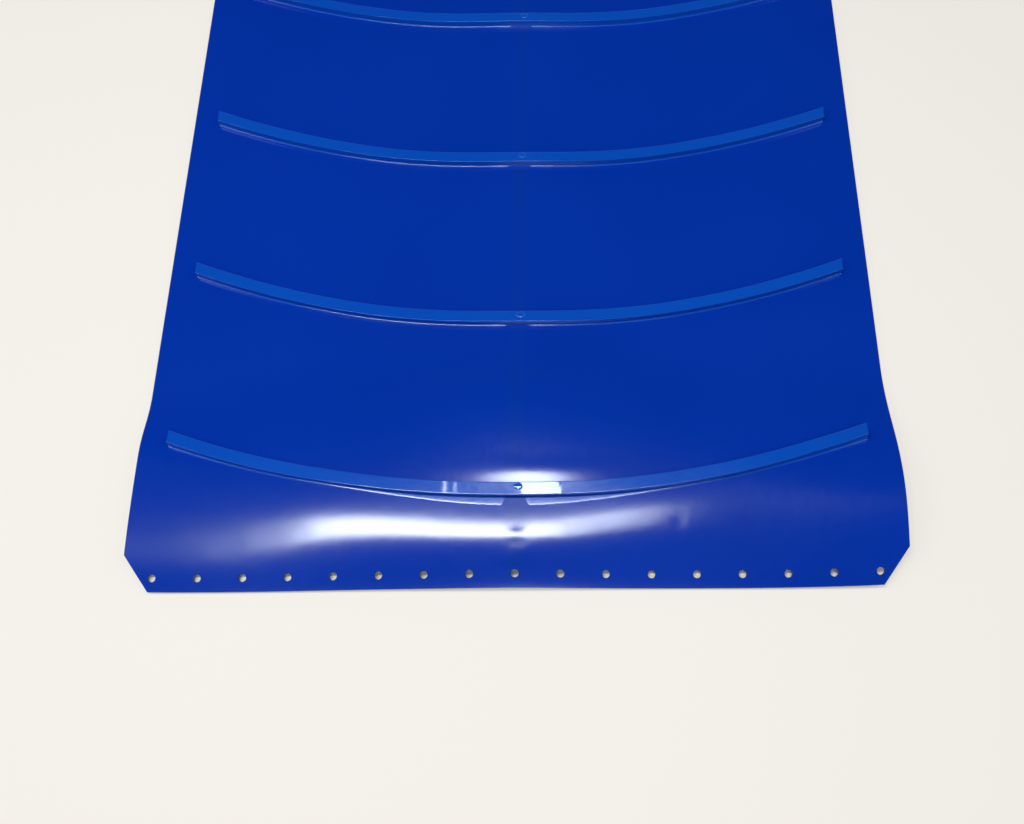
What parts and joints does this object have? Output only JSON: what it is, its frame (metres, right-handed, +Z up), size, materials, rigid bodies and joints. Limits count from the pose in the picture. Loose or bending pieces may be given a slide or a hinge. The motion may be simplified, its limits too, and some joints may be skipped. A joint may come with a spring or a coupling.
{
  "type": "cleated conveyor belt",
  "caption": "Open length of flat blue plastic conveyor belt with arched welded cleats, a V-guide underneath and punched, chamfered ends.",
  "frame": {"origin": "centre of the belt in plan, at the foot of the V-guide, with the belt laid out flat, cleats up", "axes": "+Y along the belt from the front end (cleat crowns point to it) to the back end, +X across to the right, +Z up out of the carrying side"},
  "size_m": [0.6, 1.28, 0.016],
  "materials": {
    "belt_blue": "smooth glossy thermoplastic sheet, deep blue",
    "cleat_blue": "extruded thermoplastic strip, lighter blue, satin gloss",
    "guide_blue": "notched thermoplastic V-guide, blue, dull"
  },
  "bodies": {
    "front_end": {"front_tab": "belt_blue"},
    "section_1": {"sheet_section_1": "belt_blue", "cleat_left_1": "cleat_blue", "cleat_right_1": "cleat_blue", "guide_section_1": "guide_blue"},
    "section_2": {"sheet_section_2": "belt_blue", "cleat_left_2": "cleat_blue", "cleat_right_2": "cleat_blue", "guide_section_2": "guide_blue"},
    "section_3": {"sheet_section_3": "belt_blue", "cleat_left_3": "cleat_blue", "cleat_right_3": "cleat_blue", "guide_section_3": "guide_blue"},
    "section_4": {"sheet_section_4": "belt_blue", "cleat_left_4": "cleat_blue", "cleat_right_4": "cleat_blue", "guide_section_4": "guide_blue"},
    "section_5": {"sheet_section_5": "belt_blue", "cleat_left_5": "cleat_blue", "cleat_right_5": "cleat_blue", "guide_section_5": "guide_blue"},
    "section_6": {"sheet_section_6": "belt_blue", "cleat_left_6": "cleat_blue", "cleat_right_6": "cleat_blue", "guide_section_6": "guide_blue"},
    "section_7": {"sheet_section_7": "belt_blue", "cleat_left_7": "cleat_blue", "cleat_right_7": "cleat_blue", "guide_section_7": "guide_blue"},
    "section_8": {"sheet_section_8": "belt_blue", "cleat_left_8": "cleat_blue", "cleat_right_8": "cleat_blue", "guide_section_8": "guide_blue"}
  },
  "joints": [
    {"name": "bend_1", "type": "hinge", "parent": "section_1", "child": "front_end", "pos_m": [0, -0.609, 0.0075], "axis": [1, 0, 0], "range_deg": [-30, 44], "stiffness_Nm_per_rad": 0.5},
    {"name": "bend_2", "type": "hinge", "parent": "section_2", "child": "section_1", "pos_m": [0, -0.449, 0.0075], "axis": [1, 0, 0], "range_deg": [-30, 44], "stiffness_Nm_per_rad": 0.5},
    {"name": "bend_3", "type": "hinge", "parent": "section_3", "child": "section_2", "pos_m": [0, -0.289, 0.0075], "axis": [1, 0, 0], "range_deg": [-30, 44], "stiffness_Nm_per_rad": 0.5},
    {"name": "bend_4", "type": "hinge", "parent": "section_4", "child": "section_3", "pos_m": [0, -0.129, 0.0075], "axis": [1, 0, 0], "range_deg": [-30, 44], "stiffness_Nm_per_rad": 0.5},
    {"name": "bend_5", "type": "hinge", "parent": "section_4", "child": "section_5", "pos_m": [0, 0.031, 0.0075], "axis": [-1, 0, 0], "range_deg": [-30, 44], "stiffness_Nm_per_rad": 0.5},
    {"name": "bend_6", "type": "hinge", "parent": "section_5", "child": "section_6", "pos_m": [0, 0.191, 0.0075], "axis": [-1, 0, 0], "range_deg": [-30, 44], "stiffness_Nm_per_rad": 0.5},
    {"name": "bend_7", "type": "hinge", "parent": "section_6", "child": "section_7", "pos_m": [0, 0.351, 0.0075], "axis": [-1, 0, 0], "range_deg": [-30, 44], "stiffness_Nm_per_rad": 0.5},
    {"name": "bend_8", "type": "hinge", "parent": "section_7", "child": "section_8", "pos_m": [0, 0.511, 0.0075], "axis": [-1, 0, 0], "range_deg": [-30, 44], "stiffness_Nm_per_rad": 0.5}
  ]
}
